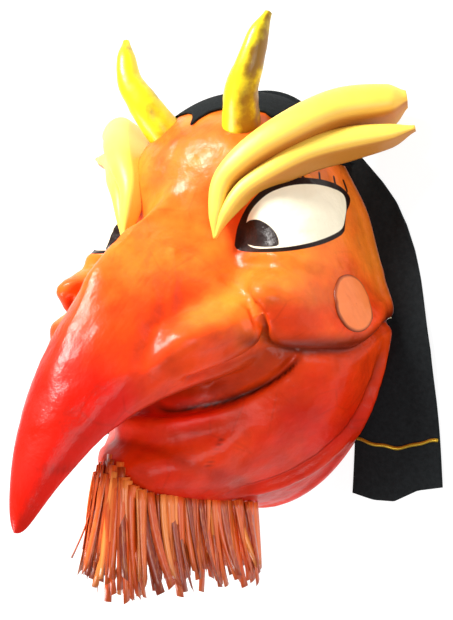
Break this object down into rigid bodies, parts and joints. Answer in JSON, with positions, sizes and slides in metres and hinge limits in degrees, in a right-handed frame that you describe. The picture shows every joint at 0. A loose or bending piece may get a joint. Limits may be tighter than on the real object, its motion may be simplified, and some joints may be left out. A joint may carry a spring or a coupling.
{
  "type": "carnival mask",
  "caption": "Full-face papier-mache carnival mask of a horned red devil with a long hooked nose, moulded eyebrows, a black cloth veil and a straw beard.",
  "frame": {"origin": "middle of the underside of the whole part, on the plane that the mask's back rim lies on", "axes": "+X to the viewer's right of the face, +Y towards the crown, +Z the way the face looks; the mask lies on its back rim"},
  "size_m": [0.348, 0.4316, 0.2556],
  "materials": {
    "painted_papier_mache": "glossy varnished paint, orange at the forehead to red at the nose's tip and jaw, over crinkled papier-mache",
    "horn_paint": "satin yellow paint with ochre patches and fine cracks",
    "eyebrow_paint": "satin cream to ochre paint",
    "cheek_disc_paint": "satin salmon orange paint",
    "black_cloth": "matte black felt",
    "gold_braid": "dull gold braid",
    "straw": "glossy dyed straw ribbons, orange-brown"
  },
  "bodies": {
    "root": {"mask_shell": "painted_papier_mache", "horn_right": "horn_paint", "horn_left": "horn_paint", "eyebrow_right": "eyebrow_paint", "eyebrow_left": "eyebrow_paint", "cheek_disc_right": "cheek_disc_paint", "cheek_disc_left": "cheek_disc_paint", "veil": "black_cloth", "veil_trim_right": "gold_braid", "veil_trim_left": "gold_braid", "straw_beard": "straw"}
  },
  "joints": []
}
